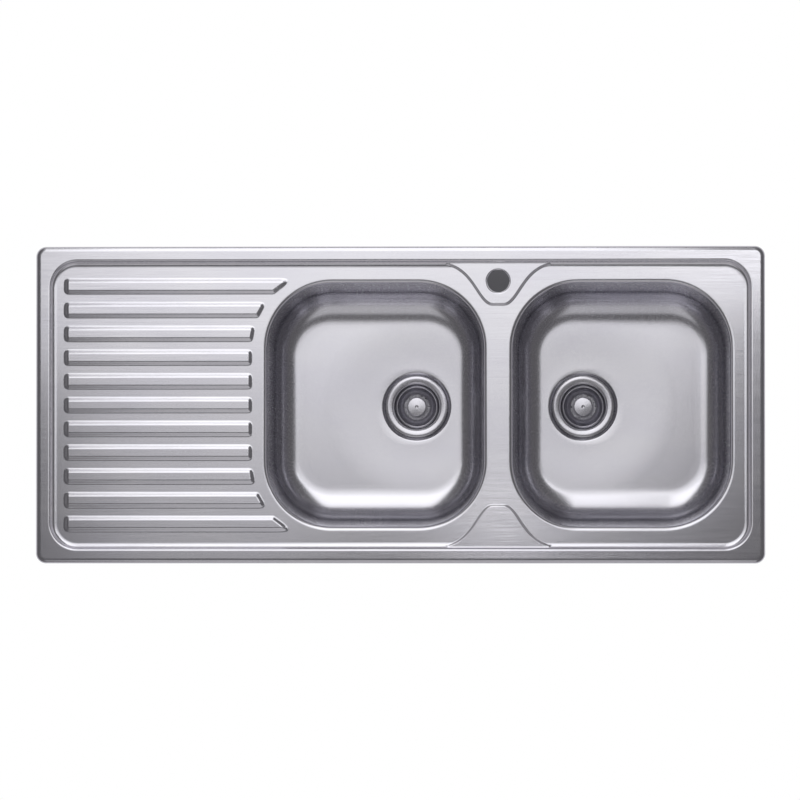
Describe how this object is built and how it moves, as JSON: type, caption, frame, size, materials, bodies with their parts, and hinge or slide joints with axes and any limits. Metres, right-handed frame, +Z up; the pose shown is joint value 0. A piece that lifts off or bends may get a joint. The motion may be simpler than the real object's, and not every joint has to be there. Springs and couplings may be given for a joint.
{
  "type": "double bowl kitchen sink",
  "caption": "Inset stainless steel kitchen sink with double bowl, ribbed drainer, tap ledge, basket strainer wastes and under-worktop fixing clips.",
  "frame": {"origin": "middle of the sink's outline, on the worktop's upper surface that the rim seal lies on", "axes": "+X from the drainer to the bowls, +Y to the back where the tap stands, +Z up"},
  "size_m": [1.15, 0.5, 0.2412],
  "materials": {
    "stainless_steel": "satin brushed stainless steel",
    "zinc_plated_steel": "bright zinc plate",
    "brass": "turned",
    "black_rubber": "moulded",
    "foam_strip": "closed-cell foam",
    "bitumen_pad": "pressed damping sheet",
    "white_polypropylene": "moulded"
  },
  "bodies": {
    "sink": {"sink_top": "stainless_steel", "bowl_left": "stainless_steel", "bowl_right": "stainless_steel", "rim_seal": "foam_strip", "sound_pad_left": "bitumen_pad", "sound_pad_right": "bitumen_pad", "waste_flange_left": "stainless_steel", "waste_cup_left": "stainless_steel", "flange_gasket_left": "black_rubber", "body_gasket_left": "black_rubber", "waste_body_left": "white_polypropylene", "clamp_screw_left": "zinc_plated_steel", "clamp_nut_left": "brass", "waste_flange_right": "stainless_steel", "waste_cup_right": "stainless_steel", "flange_gasket_right": "black_rubber", "body_gasket_right": "black_rubber", "waste_body_right": "white_polypropylene", "clamp_screw_right": "zinc_plated_steel", "clamp_nut_right": "brass", "clip_hanger_1": "zinc_plated_steel", "clip_hanger_2": "zinc_plated_steel", "clip_hanger_3": "zinc_plated_steel", "clip_hanger_4": "zinc_plated_steel", "clip_hanger_5": "zinc_plated_steel", "clip_hanger_6": "zinc_plated_steel", "clip_hanger_7": "zinc_plated_steel", "clip_hanger_8": "zinc_plated_steel"},
    "basket_left": {"basket_shell_left": "stainless_steel", "basket_seal_left": "black_rubber", "basket_post_left": "stainless_steel", "basket_knob_left": "stainless_steel"},
    "basket_right": {"basket_shell_right": "stainless_steel", "basket_seal_right": "black_rubber", "basket_post_right": "stainless_steel", "basket_knob_right": "stainless_steel"},
    "screw_1": {"clip_screw_1": "zinc_plated_steel"},
    "claw_1": {"clip_claw_1": "zinc_plated_steel"},
    "screw_2": {"clip_screw_2": "zinc_plated_steel"},
    "claw_2": {"clip_claw_2": "zinc_plated_steel"},
    "screw_3": {"clip_screw_3": "zinc_plated_steel"},
    "claw_3": {"clip_claw_3": "zinc_plated_steel"},
    "screw_4": {"clip_screw_4": "zinc_plated_steel"},
    "claw_4": {"clip_claw_4": "zinc_plated_steel"},
    "screw_5": {"clip_screw_5": "zinc_plated_steel"},
    "claw_5": {"clip_claw_5": "zinc_plated_steel"},
    "screw_6": {"clip_screw_6": "zinc_plated_steel"},
    "claw_6": {"clip_claw_6": "zinc_plated_steel"},
    "screw_7": {"clip_screw_7": "zinc_plated_steel"},
    "claw_7": {"clip_claw_7": "zinc_plated_steel"},
    "screw_8": {"clip_screw_8": "zinc_plated_steel"},
    "claw_8": {"clip_claw_8": "zinc_plated_steel"}
  },
  "joints": [
    {"name": "basket_lift_left", "type": "slide", "parent": "sink", "child": "basket_left", "axis": [0, 0, 1], "range_m": [0, 0.205]},
    {"name": "basket_lift_right", "type": "slide", "parent": "sink", "child": "basket_right", "axis": [0, 0, 1], "range_m": [0, 0.205]},
    {"name": "screw_travel_1", "type": "slide", "parent": "sink", "child": "screw_1", "axis": [0, 0, 1], "range_m": [0, 0.011]},
    {"name": "claw_swivel_1", "type": "hinge", "parent": "screw_1", "child": "claw_1", "pos_m": [-0.45, -0.20855, -0.0448], "axis": [0, 0, 1], "range_deg": [-90, 90]},
    {"name": "screw_travel_2", "type": "slide", "parent": "sink", "child": "screw_2", "axis": [0, 0, 1], "range_m": [0, 0.011]},
    {"name": "claw_swivel_2", "type": "hinge", "parent": "screw_2", "child": "claw_2", "pos_m": [-0.45, 0.20855, -0.0448], "axis": [0, 0, 1], "range_deg": [-90, 90]},
    {"name": "screw_travel_3", "type": "slide", "parent": "sink", "child": "screw_3", "axis": [0, 0, 1], "range_m": [0, 0.011]},
    {"name": "claw_swivel_3", "type": "hinge", "parent": "screw_3", "child": "claw_3", "pos_m": [-0.1143, -0.20855, -0.0448], "axis": [0, 0, 1], "range_deg": [-90, 90]},
    {"name": "screw_travel_4", "type": "slide", "parent": "sink", "child": "screw_4", "axis": [0, 0, 1], "range_m": [0, 0.011]},
    {"name": "claw_swivel_4", "type": "hinge", "parent": "screw_4", "child": "claw_4", "pos_m": [-0.1143, 0.20855, -0.0448], "axis": [0, 0, 1], "range_deg": [-90, 90]},
    {"name": "screw_travel_5", "type": "slide", "parent": "sink", "child": "screw_5", "axis": [0, 0, 1], "range_m": [0, 0.011]},
    {"name": "claw_swivel_5", "type": "hinge", "parent": "screw_5", "child": "claw_5", "pos_m": [0.25995, -0.20855, -0.0448], "axis": [0, 0, 1], "range_deg": [-90, 90]},
    {"name": "screw_travel_6", "type": "slide", "parent": "sink", "child": "screw_6", "axis": [0, 0, 1], "range_m": [0, 0.011]},
    {"name": "claw_swivel_6", "type": "hinge", "parent": "screw_6", "child": "claw_6", "pos_m": [0.25995, 0.20855, -0.0448], "axis": [0, 0, 1], "range_deg": [-90, 90]},
    {"name": "screw_travel_7", "type": "slide", "parent": "sink", "child": "screw_7", "axis": [0, 0, 1], "range_m": [0, 0.011]},
    {"name": "claw_swivel_7", "type": "hinge", "parent": "screw_7", "child": "claw_7", "pos_m": [0.51, -0.20855, -0.0448], "axis": [0, 0, 1], "range_deg": [-90, 90]},
    {"name": "screw_travel_8", "type": "slide", "parent": "sink", "child": "screw_8", "axis": [0, 0, 1], "range_m": [0, 0.011]},
    {"name": "claw_swivel_8", "type": "hinge", "parent": "screw_8", "child": "claw_8", "pos_m": [0.51, 0.20855, -0.0448], "axis": [0, 0, 1], "range_deg": [-90, 90]}
  ]
}
